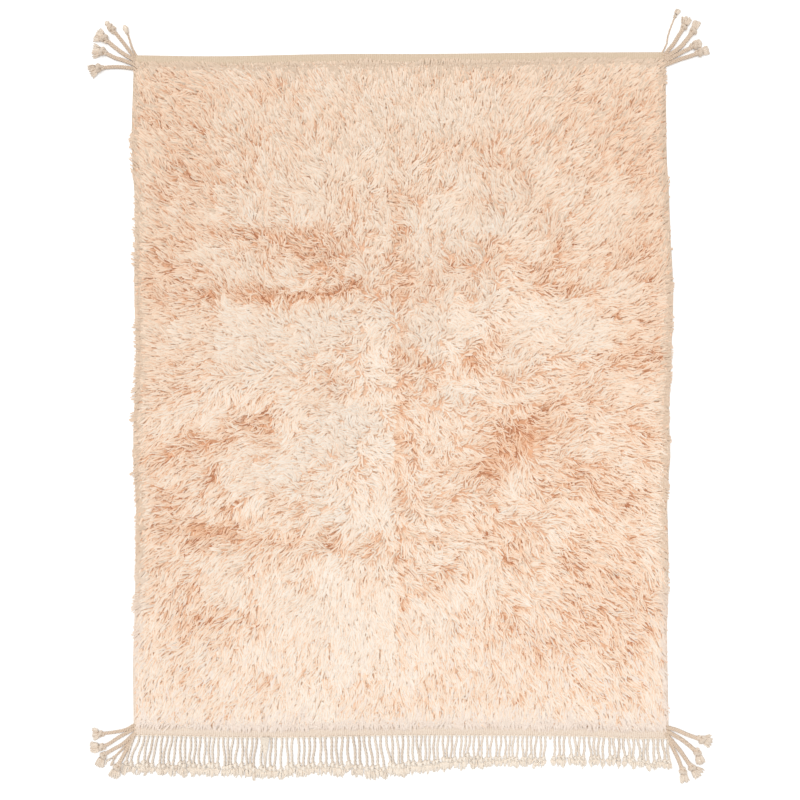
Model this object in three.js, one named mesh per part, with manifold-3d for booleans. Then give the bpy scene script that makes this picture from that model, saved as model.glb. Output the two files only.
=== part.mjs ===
// Long-pile wool rug, hand-knotted on a flat-woven ground. The rug is one woven piece with a bare
// woven strip at each end. A knotted fringe of warp cords hangs from the lower end, and plaited
// tassels with knotted, cut ends fan out from the four corners.
//
// Millimetres. The origin is the middle of the underside, on the floor. +X runs across the rug,
// +Y along it towards the end without a fringe, and +Z up.
import * as THREE from "three";
import { mergeVertices } from "three/addons/utils/BufferGeometryUtils.js";
import Module from "manifold-3d";

const wasm = await Module();
wasm.setup();

// Driving dimensions of the woven piece
const RUG_WIDTH = 2350;
const WEAVE_THICK = 8;
const PILE_TOP = 34;
const END_STRIP = 36;
const CELL = 105;

// The pile rounds off over its last few centimetres: distances in from its border
const SHOULDER_STEPS = [0, 3, 12, 36];
const SHOULDER = SHOULDER_STEPS.at(-1);

// Soft mounds in the pile, and the parting along the old fold down its middle
const MOUND = 1.6;
const MOUND_PITCH = 150;
const PARTING = { x: 17, halfWidth: 28, depth: 8, low: -990, high: 840, fade: 160 };

// Pieces that touch keep this much air between them
const GAP = 0.3;

// Selvedges and ends wander a little, as hand weaving does
const LEFT_EDGE = [
  { y: -1520, x: -1173 },
  { y: -1200, x: -1176 },
  { y: -850, x: -1166 },
  { y: -500, x: -1161 },
  { y: -250, x: -1176 },
  { y: 200, x: -1162 },
  { y: 480, x: -1171 },
  { y: 800, x: -1167 },
  { y: 1120, x: -1182 },
  { y: 1520, x: -1172 },
];
const RIGHT_EDGE = [
  { y: -1520, x: 1183 },
  { y: -1050, x: 1176 },
  { y: -720, x: 1183 },
  { y: -450, x: 1176 },
  { y: -280, x: 1191 },
  { y: -60, x: 1184 },
  { y: 150, x: 1195 },
  { y: 450, x: 1204 },
  { y: 800, x: 1188 },
  { y: 1100, x: 1173 },
  { y: 1520, x: 1169 },
];
const LOWER_END = [
  { x: -1175, y: -1497 },
  { x: -600, y: -1507 },
  { x: 100, y: -1496 },
  { x: 700, y: -1499 },
  { x: 1185, y: -1516 },
];
const UPPER_END = [
  { x: -1175, y: 1496 },
  { x: -880, y: 1492 },
  { x: 0, y: 1500 },
  { x: 1175, y: 1510 },
];

// Fringe: cords knotted off the warps, each ending in a knot and a short cut brush
const FRINGE = {
  cords: 111,
  header: 8,
  thick: 9,
  cordHalf: 4.5,
  knotHalf: 6.5,
  tipHalf: 7,
  brush: 30,
};
const FRINGE_TIPS = [
  { x: -1175, y: -1668 },
  { x: -800, y: -1672 },
  { x: -570, y: -1692 },
  { x: -290, y: -1672 },
  { x: -80, y: -1686 },
  { x: 120, y: -1660 },
  { x: 300, y: -1640 },
  { x: 700, y: -1626 },
  { x: 1000, y: -1622 },
  { x: 1185, y: -1650 },
];
const FRINGE_LEAN = [
  { x: -1175, shift: -42 },
  { x: -1050, shift: -20 },
  { x: -800, shift: -8 },
  { x: -560, shift: -6 },
  { x: -300, shift: 4 },
  { x: -90, shift: 16 },
  { x: 150, shift: -6 },
  { x: 600, shift: -7 },
  { x: 900, shift: 4 },
  { x: 1185, shift: 10 },
];

// Corner tassels. cord, knot and brush are half widths; route runs from inside the corner to the
// middle of the knot, and tip is the end of the brush.
const TASSELS = [
  {
    name: "tassel_top_left_1", cord: 4.5, knot: 8, brush: 9,
    route: [[-1158, 1490], [-1180, 1530], [-1192, 1568], [-1203, 1600]], tip: [-1213, 1629],
  },
  {
    name: "tassel_top_left_2", cord: 7.5, knot: 15, brush: 13,
    route: [[-1164, 1480], [-1196, 1522], [-1230, 1566], [-1266, 1610]], tip: [-1295, 1643],
  },
  {
    name: "tassel_top_left_3", cord: 8.5, knot: 17, brush: 25,
    route: [[-1164, 1470], [-1220, 1504], [-1256, 1531], [-1301, 1569]], tip: [-1341, 1591],
  },
  {
    name: "tassel_top_left_4", cord: 8.5, knot: 17, brush: 25,
    route: [[-1164, 1453], [-1220, 1474], [-1256, 1485], [-1309, 1512]], tip: [-1357, 1515],
  },
  {
    name: "tassel_top_left_5", cord: 8, knot: 17, brush: 23,
    route: [[-1164, 1436], [-1220, 1443], [-1262, 1444], [-1326, 1439]], tip: [-1369, 1419],
  },
  {
    name: "tassel_top_right_1", cord: 3.5, knot: 7, brush: 8,
    route: [[1150, 1498], [1174, 1546], [1179, 1576], [1192, 1618], [1212, 1668]], tip: [1229, 1700],
  },
  {
    name: "tassel_top_right_2", cord: 7.5, knot: 12, brush: 18,
    route: [[1160, 1492], [1203, 1544], [1223, 1576], [1250, 1618]], tip: [1266, 1668],
  },
  {
    name: "tassel_top_right_3", cord: 8.5, knot: 14, brush: 16,
    route: [[1160, 1478], [1230, 1528], [1259, 1560], [1291, 1600]], tip: [1313, 1648],
  },
  {
    name: "tassel_top_right_4", cord: 8, knot: 15, brush: 16,
    route: [[1160, 1464], [1230, 1503], [1266, 1521], [1298, 1538]], tip: [1328, 1556],
  },
  {
    name: "tassel_top_right_5", cord: 8, knot: 15, brush: 18,
    route: [[1160, 1450], [1230, 1477], [1266, 1488], [1320, 1506]], tip: [1361, 1524],
  },
  {
    name: "tassel_bottom_left_1", cord: 7, knot: 13, brush: 22,
    route: [[-1164, -1448], [-1205, -1472], [-1256, -1484], [-1318, -1491]], tip: [-1357, -1495],
  },
  {
    name: "tassel_bottom_left_2", cord: 7.5, knot: 14, brush: 19,
    route: [[-1164, -1466], [-1238, -1507], [-1284, -1537], [-1313, -1548]], tip: [-1367, -1555],
  },
  {
    name: "tassel_bottom_left_3", cord: 7.5, knot: 14, brush: 15,
    route: [[-1164, -1484], [-1220, -1535], [-1265, -1561], [-1307, -1586]], tip: [-1327, -1640],
  },
  {
    name: "tassel_bottom_left_4", cord: 8, knot: 16, brush: 19,
    route: [[-1166, -1490], [-1204, -1560], [-1223, -1597], [-1247, -1637]], tip: [-1262, -1690],
  },
  {
    name: "tassel_bottom_left_5", cord: 5, knot: 8, brush: 11,
    route: [[-1180, -1506], [-1214, -1550], [-1240, -1577], [-1260, -1597]], tip: [-1287, -1626],
  },
  {
    name: "tassel_bottom_right_1", cord: 8.5, knot: 17, brush: 21,
    route: [[1170, -1462], [1216, -1474], [1270, -1497], [1328, -1517]], tip: [1376, -1529],
  },
  {
    name: "tassel_bottom_right_2", cord: 8.5, knot: 15, brush: 14,
    route: [[1168, -1476], [1234, -1513], [1270, -1540], [1308, -1574]], tip: [1332, -1628],
  },
  {
    name: "tassel_bottom_right_3", cord: 8.5, knot: 15, brush: 21,
    route: [[1166, -1486], [1227, -1558], [1260, -1605], [1284, -1640]], tip: [1326, -1677],
  },
  {
    name: "tassel_bottom_right_4", cord: 8, knot: 15, brush: 16,
    route: [[1174, -1494], [1205, -1562], [1227, -1608], [1244, -1657]], tip: [1255, -1710],
  },
];

// How the tassels are rounded, as shares of the half widths above, and their facets
const LYING = 0.8;
const KNOT_LONG = 0.8;
const KNOT_HIGH = 0.62;
const BRUSH_HIGH = 7;
const BRUSH_NECK = 0.6;
const ROPE_SIDES = 6;
const ROPE_STEP = 60;
const ROUND_SIDES = 8;

const PILE_WOOL = { color: 0xf1d6bf, roughness: 0.95, metalness: 0 };
const CORD_WOOL = { color: 0xe4d0b4, roughness: 0.95, metalness: 0 };

// Reads one column of a table at a place along another, easing from row to row
function readTable(rows, along, column, place) {
  const last = rows.findIndex((row) => row[along] >= place);
  if (last === 0) return rows[0][column];
  if (last < 0) return rows.at(-1)[column];
  const [from, to] = [rows[last - 1], rows[last]];
  const share = THREE.MathUtils.smoothstep(place, from[along], to[along]);
  return THREE.MathUtils.lerp(from[column], to[column], share);
}

const leftEdge = (y) => readTable(LEFT_EDGE, "y", "x", y);
const rightEdge = (y) => readTable(RIGHT_EDGE, "y", "x", y);
const lowerEnd = (x) => readTable(LOWER_END, "x", "y", x);
const upperEnd = (x) => readTable(UPPER_END, "x", "y", x);

// Places from low to high, about one cell apart
function evenly(low, high) {
  const count = Math.max(1, Math.round((high - low) / CELL));
  return Array.from({ length: count + 1 }, (_, i) => low + ((high - low) * i) / count);
}

// Cell borders across the weave and along it, closer together where the pile rounds off
const HALF = RUG_WIDTH / 2;
const RUG_LENGTH = upperEnd(0) - lowerEnd(0);
const OUTER_STEPS = SHOULDER_STEPS.slice(0, -1);
const COLUMNS = [
  ...OUTER_STEPS.map((step) => step - HALF),
  ...evenly(SHOULDER - HALF, PARTING.x - PARTING.halfWidth),
  PARTING.x,
  ...evenly(PARTING.x + PARTING.halfWidth, HALF - SHOULDER),
  ...OUTER_STEPS.toReversed().map((step) => HALF - step),
];
const END_STEPS = [0, ...OUTER_STEPS.map((step) => END_STRIP + step)];
const ROWS = [
  ...END_STEPS,
  ...evenly(END_STRIP + SHOULDER, RUG_LENGTH - END_STRIP - SHOULDER),
  ...END_STEPS.toReversed().map((step) => RUG_LENGTH - step),
];

// Where a cell corner lies once the weave is drawn out to its edges
function weavePoint(column, row) {
  const y = THREE.MathUtils.lerp(lowerEnd(column), upperEnd(column), row / RUG_LENGTH);
  const stretch = column < 0 ? leftEdge(y) + HALF : rightEdge(y) - HALF;
  return [column + stretch * Math.abs(column / HALF), y];
}

// How high the top of the rug stands over a point
function topAt(x, y) {
  const inFromSide = Math.min(x - leftEdge(y), rightEdge(y) - x);
  const inFromEnd = Math.min(y - lowerEnd(x), upperEnd(x) - y) - END_STRIP;
  const inward = THREE.MathUtils.clamp(Math.min(inFromSide, inFromEnd) / SHOULDER, 0, 1);
  const rise = Math.sqrt(1 - (1 - inward) ** 2);
  const across = Math.max(0, 1 - Math.abs(x - PARTING.x) / PARTING.halfWidth);
  const fromEnds = Math.min(y - PARTING.low, PARTING.high - y);
  const along = THREE.MathUtils.smoothstep(fromEnds, 0, PARTING.fade);
  const mound = MOUND * Math.sin(x / MOUND_PITCH) * Math.cos(y / MOUND_PITCH);
  const pile = PILE_TOP - WEAVE_THICK - MOUND + mound - PARTING.depth * across * along;
  return WEAVE_THICK + rise * pile;
}

// three.js geometry to a manifold solid, and back
function toSolid(geometry) {
  const bare = geometry.clone();
  bare.deleteAttribute("normal");
  bare.deleteAttribute("uv");
  const merged = mergeVertices(bare, 1e-4);
  return new wasm.Manifold(
    new wasm.Mesh({
      numProp: 3,
      vertProperties: merged.attributes.position.array,
      triVerts: new Uint32Array(merged.index.array),
    }),
  );
}

function toGeometry(solid) {
  const { vertProperties, triVerts } = solid.getMesh();
  const geometry = new THREE.BufferGeometry();
  geometry.setAttribute("position", new THREE.BufferAttribute(vertProperties, 3));
  geometry.setIndex(new THREE.BufferAttribute(triVerts, 1));
  geometry.computeVertexNormals();
  return geometry;
}

// Everything lies on the floor: this block cuts each piece flat at z = 0
const BLOCK = { side: 4000, high: 100 };
const aboveFloor = toSolid(
  new THREE.BoxGeometry(BLOCK.side, BLOCK.side, BLOCK.high).translate(0, 0, BLOCK.high / 2),
);

// The woven piece: a box of small cells, drawn out to its edges and raised to the pile. With a
// clearance it is instead the upright wall, that far off, which trims the pieces beside it.
function rugSolid(clearance) {
  const [wide, long] = [COLUMNS.length - 1, ROWS.length - 1];
  const box = new THREE.BoxGeometry(1, 1, 1, wide, long, 1);
  const point = box.attributes.position;
  for (let i = 0; i < point.count; i += 1) {
    const across = Math.round((point.getX(i) + 0.5) * wide);
    const along = Math.round((point.getY(i) + 0.5) * long);
    const [x, y] = weavePoint(COLUMNS[across], ROWS[along]);
    const sideways = across === 0 ? -clearance : across === wide ? clearance : 0;
    const lengthways = along === 0 ? -clearance : along === long ? clearance : 0;
    const top = clearance > 0 ? BLOCK.high : topAt(x, y);
    point.setXYZ(i, x + sideways, y + lengthways, point.getZ(i) > 0 ? top : -WEAVE_THICK);
  }
  return toSolid(box).intersect(aboveFloor);
}

// The fringe: one comb. Its header lies along the lower end, and each tooth is a cord with its
// knot and brush.
function fringeSolid(grow) {
  const header = COLUMNS.map((column) => weavePoint(column, 0));
  const first = header[0][0] + FRINGE.cordHalf;
  const last = header.at(-1)[0] - FRINGE.cordHalf;
  const pitch = (last - first) / (FRINGE.cords - 1);
  const outline = header.map(([x, y]) => [x, y - GAP + grow]);
  outline[0][0] -= grow;
  outline.at(-1)[0] += grow;
  for (let cord = FRINGE.cords - 1; cord >= 0; cord -= 1) {
    const x = first + cord * pitch;
    const root = lowerEnd(x) - GAP - FRINGE.header;
    const tip = readTable(FRINGE_TIPS, "x", "y", x);
    const shift = readTable(FRINGE_LEAN, "x", "shift", x);
    const knot = tip + FRINGE.brush;
    const drop = (root - knot) / (root - tip);
    outline.push([x + FRINGE.cordHalf + grow, root - grow]);
    outline.push([x + shift * drop + FRINGE.knotHalf + grow, knot]);
    outline.push([x + shift + FRINGE.tipHalf + grow, tip - grow]);
    outline.push([x + shift - FRINGE.tipHalf - grow, tip - grow]);
    outline.push([x + shift * drop - FRINGE.knotHalf - grow, knot]);
    outline.push([x - FRINGE.cordHalf - grow, root - grow]);
  }
  const shape = new THREE.Shape(outline.map(([x, y]) => new THREE.Vector2(x, y)));
  const depth = FRINGE.thick + grow;
  return toSolid(new THREE.ExtrudeGeometry(shape, { depth, bevelEnabled: false }));
}

// One tassel: a plaited cord, a flattened overhand knot and a splayed brush
function tasselSolid({ cord, knot, brush, route, tip }, grow) {
  const height = cord * LYING;
  const line = new THREE.CatmullRomCurve3(route.map(([x, y]) => new THREE.Vector3(x, y, height)));
  const section = new THREE.Shape();
  section.absarc(0, 0, cord + grow, 0, 2 * Math.PI);
  const steps = Math.ceil(line.getLength() / ROPE_STEP);
  const rope = new THREE.ExtrudeGeometry(section, {
    steps,
    curveSegments: ROPE_SIDES / 2,
    extrudePath: line,
    bevelEnabled: false,
  });
  const middle = new THREE.Vector2(...route.at(-1));
  const end = new THREE.Vector2(...tip);
  const heading = end.clone().sub(middle);
  const ball = new THREE.SphereGeometry(1, ROUND_SIDES, ROUND_SIDES / 2)
    .scale(knot * KNOT_LONG + grow, knot + grow, knot * KNOT_HIGH + grow)
    .rotateZ(heading.angle())
    .translate(middle.x, middle.y, knot * KNOT_HIGH * LYING);
  const long = heading.length() + grow;
  const neck = brush * BRUSH_NECK + grow;
  const tuft = new THREE.CylinderGeometry(brush + grow, neck, long, ROUND_SIDES)
    .translate(0, long / 2, 0)
    .scale(1, 1, (BRUSH_HIGH + grow) / (brush + grow))
    .rotateZ(heading.angle() - Math.PI / 2)
    .translate(middle.x, middle.y, BRUSH_HIGH * LYING);
  return toSolid(rope).add(toSolid(ball)).add(toSolid(tuft)).intersect(aboveFloor);
}

// The largest body of a trimmed solid, without the slivers that a cut leaves
function largest(solid) {
  return solid.decompose().sort((a, b) => b.volume() - a.volume())[0];
}

const rug = new THREE.Group();

function addPiece(name, solid, finish) {
  const piece = new THREE.Mesh(toGeometry(solid), new THREE.MeshStandardMaterial(finish));
  piece.name = name;
  rug.add(piece);
}

addPiece("rug_body", rugSolid(0), PILE_WOOL);
addPiece("fringe", fringeSolid(0), CORD_WOOL);

// At the corners each tassel is trimmed round what lies beside it
let taken = rugSolid(GAP).add(fringeSolid(GAP));
for (const row of TASSELS) {
  addPiece(row.name, largest(tasselSolid(row, 0).subtract(taken)), CORD_WOOL);
  taken = taken.add(tasselSolid(row, GAP));
}

export default rug;
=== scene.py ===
import bpy
import numpy as np
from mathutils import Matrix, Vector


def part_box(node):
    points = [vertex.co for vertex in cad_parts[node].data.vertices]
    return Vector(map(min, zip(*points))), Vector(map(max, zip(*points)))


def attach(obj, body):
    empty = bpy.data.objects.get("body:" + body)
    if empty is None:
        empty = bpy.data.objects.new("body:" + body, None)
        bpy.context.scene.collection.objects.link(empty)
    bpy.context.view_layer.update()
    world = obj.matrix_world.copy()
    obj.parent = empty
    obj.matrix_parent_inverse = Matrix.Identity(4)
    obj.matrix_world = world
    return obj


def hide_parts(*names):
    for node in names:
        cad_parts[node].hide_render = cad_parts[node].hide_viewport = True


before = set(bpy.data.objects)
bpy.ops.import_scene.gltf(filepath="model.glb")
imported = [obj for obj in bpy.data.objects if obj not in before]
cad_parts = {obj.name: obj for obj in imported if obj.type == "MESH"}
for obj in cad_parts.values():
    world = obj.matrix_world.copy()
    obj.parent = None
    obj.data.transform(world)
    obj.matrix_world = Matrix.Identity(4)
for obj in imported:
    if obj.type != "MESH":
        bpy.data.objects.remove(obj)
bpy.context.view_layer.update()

# ---------- Ground weave
# The foundation: cream wool warps beaten full of weft, one flat piece under all of the pile. It
# shows as a bare ribbed strip at each end, and its overcast selvedges show along both sides.
WEAVE_THICK = 0.008
END_STRIP = 0.036
RIB_PITCH = 0.0088
WEFT_PITCH = 0.0034
KNOT_PITCH = 0.011


def table(columns, *rows):
    """The rows of a table, each under its columns' names. A row that stops short ends in 0."""
    return [dict(zip(columns.split(), [*row, 0])) for row in rows]


def read_table(rows, along, column, place):
    """One column of a table at a place along another, in straight lines from row to row."""
    return np.interp(place, [row[along] for row in rows], [row[column] for row in rows])


# How far the pull of the wefts bows the upper end out
BOWED_OUT = table(
    "x out",
    (-0.75, 0),
    (-0.4, 0.0035),
    (-0.2, 0.0035),
    (0.05, 0.0018),
    (0.75, 0.0026),
    (0.95, 0),
)

rug_low, rug_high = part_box("rug_body")
rug_wide = rug_high.x - rug_low.x
rug_long = rug_high.y - rug_low.y
rug_points = np.array([v.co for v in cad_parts["rug_body"].data.vertices])
rim = rug_points[rug_points[:, 2] < 0.0005]


def border(along, sign, corner):
    """Reads one border of the rug, along one axis: where it lies at any place short of a corner."""
    near = (np.abs(rim[:, along]) < corner - END_STRIP) & (rim[:, 1 - along] * sign > 0)
    points = rim[near][np.argsort(rim[near, along])]
    return lambda place: np.interp(place, points[:, along], points[:, 1 - along])


left_edge = border(1, -1, rug_high.y)
right_edge = border(1, 1, rug_high.y)
lower_end = border(0, -1, -rug_low.x)
straight_end = border(0, 1, -rug_low.x)


def upper_end(x):
    """The upper end, bowed out."""
    return straight_end(x) + read_table(BOWED_OUT, "x", "out", x)


def weave_point(across, along):
    """Where a share of the width and a share of the length lie on the floor."""
    straight = rug_low.x + across * rug_wide
    y = lower_end(straight) * (1 - along) + upper_end(straight) * along
    return left_edge(y) * (1 - across) + right_edge(y) * across, y


def as_linear(red, green, blue):
    """A colour as it is read off a shade card, 0 to 255, as the shader wants it."""
    share = np.array([red, green, blue]) / 255
    light = np.where(share <= 0.04045, share / 12.92, ((share + 0.055) / 1.055) ** 2.4)
    return (*light, 1.0)


def put_in_scene(name, data):
    """A new object of some mesh, light or camera data."""
    thing = bpy.data.objects.new(name, data)
    bpy.context.scene.collection.objects.link(thing)
    return thing


def make_object(name, points, faces, card, finish):
    """One smooth mesh object. Faces are arrays of corner numbers, one array for each number of
    corners. Card gives each point its place on the wool's shade card."""
    mesh = bpy.data.meshes.new(name)
    mesh.vertices.add(len(points))
    mesh.vertices.foreach_set("co", points.astype(np.float32).ravel())
    corners = np.concatenate([f.ravel() for f in faces])
    sizes = np.concatenate([np.full(len(f), f.shape[1]) for f in faces])
    mesh.loops.add(len(corners))
    mesh.loops.foreach_set("vertex_index", corners.astype(np.int32))
    mesh.polygons.add(len(sizes))
    starts = np.concatenate([[0], np.cumsum(sizes)[:-1]])
    mesh.polygons.foreach_set("loop_start", starts.astype(np.int32))
    mesh.polygons.foreach_set("use_smooth", np.ones(len(sizes), bool))
    places = mesh.uv_layers.new(name="OFBake")
    places.data.foreach_set("uv", card[corners].astype(np.float32).ravel())
    mesh.update(calc_edges=True)
    mesh.materials.append(finish)
    return put_in_scene(name, mesh)


def grid_faces(wide, long):
    """The faces of a grid of points, wide by long, numbered along its rows."""
    numbers = np.arange(wide * long).reshape(long, wide)
    return np.stack(
        [numbers[:-1, :-1], numbers[:-1, 1:], numbers[1:, 1:], numbers[1:, :-1]], -1
    ).reshape(-1, 4)


def new_material(name, roughness, sheen):
    """A material with a Principled BSDF. Returns the material, its tree and the shader."""
    material = bpy.data.materials.new(name)
    material.use_nodes = True
    shader = material.node_tree.nodes["Principled BSDF"]
    shader.inputs["Roughness"].default_value = roughness
    shader.inputs["Specular IOR Level"].default_value = 0.2
    shader.inputs["Sheen Weight"].default_value = sheen
    shader.inputs["Sheen Roughness"].default_value = 0.6
    return material, material.node_tree, shader


def feed(socket, value):
    """Sets a socket to a value, or links it to the socket that feeds it."""
    if isinstance(value, bpy.types.NodeSocket):
        socket.id_data.links.new(value, socket)
    else:
        socket.default_value = value


def add_node(tree, kind, **values):
    """A node with its settings and inputs. Underscores in an input's name are spaces."""
    node = tree.nodes.new(kind)
    for key, value in values.items():
        if hasattr(node, key):
            setattr(node, key, value)
        else:
            feed(node.inputs[key.replace("_", " ")], value)
    return node


def math_node(operation, *inputs):
    """The output of a Math node on its inputs, each a socket or a number."""
    tree = next(i.id_data for i in inputs if isinstance(i, bpy.types.NodeSocket))
    node = add_node(tree, "ShaderNodeMath", operation=operation)
    for socket, value in zip(node.inputs, inputs):
        feed(socket, value)
    return node.outputs[0]


def mix_colours(share, first, second):
    """Mixes two colours, each a socket or a value, by a share."""
    node = add_node(share.id_data, "ShaderNodeMix", data_type="RGBA", Factor=share)
    for socket, value in zip([s for s in node.inputs if s.type == "RGBA"], (first, second)):
        feed(socket, value)
    return [s for s in node.outputs if s.type == "RGBA"][0]


def times(first, second):
    """The product of two sockets or numbers."""
    return math_node("MULTIPLY", first, second)


def plus(first, second):
    """The sum of two sockets or numbers."""
    return math_node("ADD", first, second)


def wave(turns):
    """A sine wave, from -1 to 1, over a number of turns."""
    return math_node("SINE", times(turns, 2 * np.pi))


def axes_of(place):
    """The X, Y and Z of a place."""
    return add_node(place.id_data, "ShaderNodeSeparateXYZ", Vector=place).outputs


def noise_at(place, scale, detail, roughness=0.5):
    """Fine chance from 0 to 1."""
    noise = add_node(place.id_data, "ShaderNodeTexNoise", Vector=place, Scale=scale, Detail=detail)
    noise.inputs["Roughness"].default_value = roughness
    return noise.outputs["Fac"]


def spread_out(value, low, high):
    """A value spread out to run from 0, at the low one, to 1, at the high one."""
    tree = value.id_data
    return add_node(tree, "ShaderNodeMapRange", Value=value, From_Min=low, From_Max=high).outputs[0]


def dress(shader, colour, height, strength, depth):
    """Gives a shader its colour, and its relief as a bump."""
    tree = shader.id_data
    bump = add_node(tree, "ShaderNodeBump", Strength=strength, Distance=depth, Height=height)
    feed(shader.inputs["Base Color"], colour)
    feed(shader.inputs["Normal"], bump.outputs[0])


def surface_group(name, numbers):
    """An empty shader node group. It takes a place and some numbers, each with a first value, and
    puts out the surface's height and shade there. Returns the group, its inputs and its outputs."""
    tree = bpy.data.node_groups.new(name, "ShaderNodeTree")
    tree.interface.new_socket("Place", in_out="INPUT", socket_type="NodeSocketVector")
    for label, start in numbers.items():
        socket = tree.interface.new_socket(label, in_out="INPUT", socket_type="NodeSocketFloat")
        socket.default_value = start
    for label in ("Height", "Shade"):
        tree.interface.new_socket(label, in_out="OUTPUT", socket_type="NodeSocketFloat")
    given = tree.nodes.new("NodeGroupInput").outputs
    return tree, given, tree.nodes.new("NodeGroupOutput").inputs


def weave_ribs():
    """A ribbed ground weave: warps as ribs along Y, crossed by fine wefts, seen from either face."""
    tree, given, out = surface_group("weave_ribs", {"Rib Pitch": RIB_PITCH, "Weft Pitch": WEFT_PITCH})
    drift = times(noise_at(given["Place"], 9.0, 2.0), 0.02)
    x, y, _ = axes_of(given["Place"])
    rib_turn = math_node("DIVIDE", plus(x, drift), given["Rib Pitch"])
    weft_turn = math_node("DIVIDE", plus(y, drift), given["Weft Pitch"])
    offset = times(math_node("FLOOR", rib_turn), 0.5)
    weft = wave(plus(weft_turn, offset))
    both = plus(wave(rib_turn), times(weft, 0.45))
    height = plus(times(both, 0.3), 0.5)
    feed(out["Height"], height)
    # Its shade is the wool's fine grain plus painted shade, darker in the hollows between the ribs and
    # wefts
    fuzz = noise_at(given["Place"], 150.0, 4.0, 0.7)
    grain = times(math_node("SUBTRACT", fuzz, 0.5), 2.6)
    feed(out["Shade"], plus(grain, times(height, 0.9)))
    return tree


weave_ribs_group = weave_ribs()


def ground_wool():
    """Natural cream wool, ribbed. Underneath, the backs of the knots show as rows of blush."""
    material, tree, shader = new_material("ground_wool", 0.92, 0.15)
    place = add_node(tree, "ShaderNodeTexCoord").outputs["Object"]
    ribs = add_node(tree, "ShaderNodeGroup", node_tree=weave_ribs_group, Place=place).outputs
    # The thread runs from tan to cream with that shade: the grain, and painted shade in the hollows
    thread = mix_colours(ribs["Shade"], as_linear(210, 186, 159), as_linear(252, 239, 222))
    x, y, z = axes_of(place)
    # Painted light and shade: the same wool is made paler on the lower end strip and a darker tan on the
    # upper one
    lower = times(math_node("LESS_THAN", y, -0.9), 0.45)
    thread = mix_colours(lower, thread, as_linear(248, 228, 212))
    upper = times(math_node("GREATER_THAN", y, 0.9), 0.68)
    thread = mix_colours(upper, thread, as_linear(212, 188, 160))
    rows = wave(times(y, 1 / KNOT_PITCH))
    beads = wave(times(x, 1 / KNOT_PITCH))
    knots = spread_out(plus(rows, times(beads, 0.4)), -0.2, 0.5)
    below = math_node("LESS_THAN", z, 0.002)
    from_middle = math_node("ABSOLUTE", y)
    inside = math_node("LESS_THAN", from_middle, rug_high.y - END_STRIP)
    knotted = times(times(below, inside), knots)
    colour = mix_colours(knotted, thread, as_linear(238, 205, 178))
    dress(shader, colour, ribs["Height"], 0.35, 0.0012)
    return material


WEAVE_LIP = 0.004


def lipped_shares(count, size):
    """Shares from 0 to 1 in even steps, with one more step near each end for a rounded lip."""
    lip = WEAVE_LIP / size
    return np.concatenate([[0], np.linspace(lip, 1 - lip, count), [1]])


across, along = np.meshgrid(lipped_shares(60, rug_wide), lipped_shares(76, rug_long))
on_lip = ((across % 1 == 0) | (along % 1 == 0)).ravel()
weave_x, weave_y = weave_point(across.ravel(), along.ravel())
weave_top = np.stack([weave_x, weave_y, np.where(on_lip, WEAVE_THICK / 2, WEAVE_THICK)], -1)
weave_bottom = weave_top[~on_lip] * [1, 1, 0]
weave_points = np.concatenate([weave_top, weave_bottom])
top_faces = grid_faces(*across.shape[::-1])
numbers_below = np.arange(len(weave_top))
numbers_below[~on_lip] = len(weave_top) + np.arange(len(weave_bottom))
bottom_faces = numbers_below[top_faces][:, ::-1]

# Its faces lie side by side on the card: the top on the left, the underside on the right
spread = (weave_points[:, :2] - [rug_low.x, rug_low.y]) / rug_long
weave_card = spread * [0.6, 0.96] + [0.01, 0.02]
weave_card[len(weave_top):, 0] += 0.49
ground_weave = make_object(
    "ground_weave", weave_points, [top_faces, bottom_faces], weave_card, ground_wool()
)
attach(ground_weave, "root")
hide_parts("rug_body")

# ---------- Pile
# Thick hand-spun blush wool knotted into the ground in rows and left uncut, so that it stands in
# long wavy locks. They lean outwards from the middle, part here and there, and hide the knots.
PILE_TOP = rug_high.z
LOCK_THICK = 0.18
LOCK_BEND = 0.28
TIP_WIDTH = 0.5
TIP_DROOP = 0.86
TUFT_PITCH = 0.028
CLUMP_PITCH = 0.064
CREASE_WIDTH = 0.15
CARD_LIFT = 0.012
UNDYED_CARD = 0.034
UNDYED_REACH = 0.045
OPEN_CHANCE = 0.31
DEEP_LOCKS = 0.85

# Two layers of locks: short crossed ones that fill the pile's depth, and the long ones over them.
# High and shade are shares of the whole pile's; the lower shade of the short ones is a painted shade
# of the pile's depth. Stray is how far, in radians, a lock's own heading leaves its neighbours'. Drawn
# is how far its tip is drawn in to the middle of its tuft. Filled is how much higher and paler the locks
# are where the pile lies closed, the paleness a painted light.
LAYERS = table(
    "name locks strips seed wide reach high shade stray drawn thinned filled",
    ("pile_under", 24500, 1, 71, 0.0125, 0.042, 0.76, 0.84, 1.4, 0.0, 0.0, 0.15),
    ("pile_locks", 69000, 3, 32, 0.0079, 0.049, 1.0, 1.0, 0.12, 0.3, 0.2, 0.0),
)

# The way the locks lean, as combed by hand and foot: degrees anticlockwise from across the rug
LAY = table(
    "x y heading",
    (-1.0, 1.3, 138),
    (-0.4, 1.3, 115),
    (0.2, 1.3, 88),
    (0.8, 1.3, 50),
    (-1.0, 0.8, 145),
    (-0.4, 0.9, 105),
    (0.2, 0.9, 95),
    (0.9, 0.8, 42),
    (-1.0, 0.3, 163),
    (-0.4, 0.4, 155),
    (0.4, 0.4, 38),
    (1.0, 0.3, 25),
    (-1.0, -0.1, 208),
    (-0.5, -0.1, 222),
    (0.3, -0.1, -25),
    (0.9, -0.1, 5),
    (-1.0, -0.6, 215),
    (-0.4, -0.6, 228),
    (0.2, -0.6, -48),
    (0.9, -0.5, -28),
    (-0.9, -1.2, 230),
    (-0.3, -1.1, 262),
    (0.3, -1.2, -75),
    (0.9, -1.1, -45),
    (-1.0, -1.5, 262),
    (-0.4, -1.5, 268),
    (0.4, -1.5, -90),
    (1.0, -1.5, -80),
)
LAY_REACH = 0.3
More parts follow.
